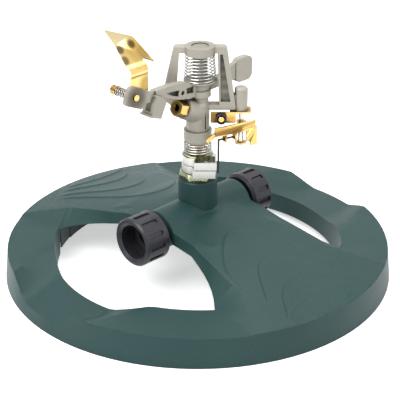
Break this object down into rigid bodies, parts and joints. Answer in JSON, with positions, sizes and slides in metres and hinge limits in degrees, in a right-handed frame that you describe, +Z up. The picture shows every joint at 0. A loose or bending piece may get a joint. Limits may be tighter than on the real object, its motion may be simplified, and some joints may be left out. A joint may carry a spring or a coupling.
{
  "type": "impulse sprinkler",
  "caption": "Part-circle impact sprinkler head on a low round ring base with a hose coupling at one end and a cap at the other.",
  "frame": {"origin": "riser axis at floor level, the centre of the round base", "axes": "+Z up along the riser; X along the water pipe, hose coupling at -X and cap at +X"},
  "size_m": [0.305, 0.305, 0.1996],
  "materials": {
    "shell": "satin moulded",
    "coupling": "satin moulded",
    "casting": "satin casting",
    "brass": "bright stamped",
    "nipple": "passivated",
    "steel": "drawn and stamped",
    "blackened": "blackened",
    "rubber": "matt",
    "sleeve_grey": "satin",
    "pale": "matt"
  },
  "bodies": {
    "base": {"base_shell": "shell", "water_tee": "shell", "tee_cradle": "shell", "cradle_screw_a": "steel", "cradle_screw_b": "steel", "inlet_ferrule": "coupling", "riser_gasket": "rubber", "bearing_nipple": "nipple", "thrust_washer": "pale"},
    "inlet_coupling": {"inlet_nut": "coupling", "inlet_washer": "rubber"},
    "cap_seal": {"cap_washer": "rubber"},
    "cap": {"outlet_cap": "coupling"},
    "lower_stop": {"collar_lower": "steel"},
    "upper_stop": {"collar_upper": "steel"},
    "head": {"bearing_sleeve": "brass", "bearing_spring": "steel", "head_body": "casting", "nozzle": "brass", "fulcrum_pin": "steel", "arm_washer": "blackened", "trip_bracket": "brass", "trip_spring": "steel", "trip_pin": "steel", "trip_clip": "blackened", "trip_spacer": "steel", "trip_disc": "brass"},
    "arm": {"swing_arm": "casting", "arm_bushing": "sleeve_grey", "arm_spring": "steel", "flap_screw": "brass", "flap_spring": "steel", "flap_nut": "brass"},
    "flap": {"deflector_flap": "brass"},
    "trip": {"trip_lever": "brass"},
    "stop_wire": {"trip_wire": "blackened"}
  },
  "joints": [
    {"name": "inlet_nut_spin", "type": "hinge", "parent": "base", "child": "inlet_coupling", "pos_m": [-0.056, 0, 0.044], "axis": [1, 0, 0], "continuous": true},
    {"name": "cap_slide", "type": "slide", "parent": "base", "child": "cap_seal", "axis": [1, 0, 0], "range_m": [0, 0.011]},
    {"name": "cap_turn", "type": "hinge", "parent": "cap_seal", "child": "cap", "pos_m": [0.056, 0, 0.044], "axis": [1, 0, 0], "range_deg": [0, 1800]},
    {"name": "lower_stop_turn", "type": "hinge", "parent": "base", "child": "lower_stop", "pos_m": [0, 0, 0.0865], "axis": [0, 0, 1], "range_deg": [-60, 0]},
    {"name": "upper_stop_turn", "type": "hinge", "parent": "base", "child": "upper_stop", "pos_m": [0, 0, 0.0935], "axis": [0, 0, 1], "range_deg": [-60, 0]},
    {"name": "head_turn", "type": "hinge", "parent": "base", "child": "head", "pos_m": [0, 0, 0.08], "axis": [0, 0, 1], "range_deg": [0, 225]},
    {"name": "arm_swing", "type": "hinge", "parent": "head", "child": "arm", "pos_m": [0.00122, -0.00118, 0.15], "axis": [0, 0, 1], "range_deg": [-20, 100], "stiffness_Nm_per_rad": 0.01},
    {"name": "flap_tilt", "type": "hinge", "parent": "arm", "child": "flap", "pos_m": [-0.06477, -0.00233, 0.1603], "axis": [-0.0175, 0.9998, 0], "range_deg": [-15, 20]},
    {"name": "trip_rock", "type": "hinge", "parent": "head", "child": "trip", "pos_m": [0.02338, -0.02258, 0.12], "axis": [0, 0, 1], "range_deg": [0, 16]},
    {"name": "wire_flip", "type": "hinge", "parent": "trip", "child": "stop_wire", "pos_m": [0.0031, -0.01927, 0.1126], "axis": [-0.9624, 0.2715, 0], "range_deg": [0, 110]}
  ],
  "couplings": [
    {"joint": "cap_slide", "follows": "cap_turn", "m_per_rad": 0.00035014}
  ]
}
